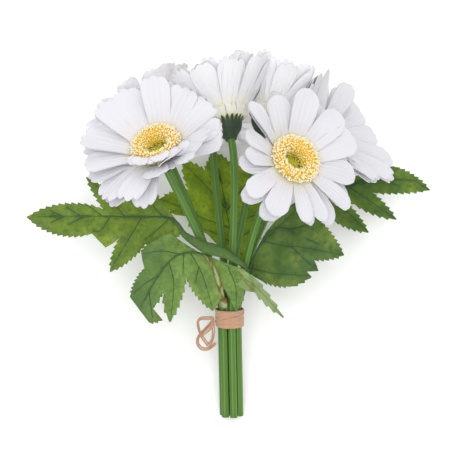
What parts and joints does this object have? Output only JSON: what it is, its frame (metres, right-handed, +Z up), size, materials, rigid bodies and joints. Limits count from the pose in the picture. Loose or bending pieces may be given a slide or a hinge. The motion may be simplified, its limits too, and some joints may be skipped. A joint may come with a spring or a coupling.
{
  "type": "bunch of daisies",
  "caption": "Raffia-tied bunch of white daisies with lobed green leaves, a cut-flower decoration that lies on its back.",
  "frame": {"origin": "middle of the bunch's outline seen from above, on the surface that it lies on", "axes": "+X to the right across the spread leaves, +Y from the cut stem ends towards the flower heads, +Z up from the surface"},
  "size_m": [0.3052, 0.2688, 0.1717],
  "materials": {
    "white_petal": "matte",
    "yellow_floret": "matte",
    "olive_floret": "matte",
    "stem_green": "satin",
    "leaf_green": "satin",
    "back_leaf_green": "satin",
    "raffia_tan": "matte"
  },
  "bodies": {
    "root": {"petals_1": "white_petal", "petals_2": "white_petal", "petals_3": "white_petal", "petals_4": "white_petal", "petals_5": "white_petal", "petals_6": "white_petal", "petals_7": "white_petal", "disc_1": "yellow_floret", "disc_2": "yellow_floret", "disc_3": "yellow_floret", "disc_4": "yellow_floret", "disc_5": "yellow_floret", "disc_6": "yellow_floret", "disc_7": "yellow_floret", "eye_1": "olive_floret", "eye_2": "olive_floret", "eye_3": "olive_floret", "eye_4": "olive_floret", "eye_5": "olive_floret", "eye_6": "olive_floret", "eye_7": "olive_floret", "stem_1": "stem_green", "stem_2": "stem_green", "stem_3": "stem_green", "stem_4": "stem_green", "stem_5": "stem_green", "stem_6": "stem_green", "stem_7": "stem_green", "leaf_left": "leaf_green", "leaf_front": "leaf_green", "leaf_right": "leaf_green", "leaf_far_right": "leaf_green", "leaf_back": "back_leaf_green", "raffia_band": "raffia_tan", "raffia_bow": "raffia_tan"}
  },
  "joints": []
}
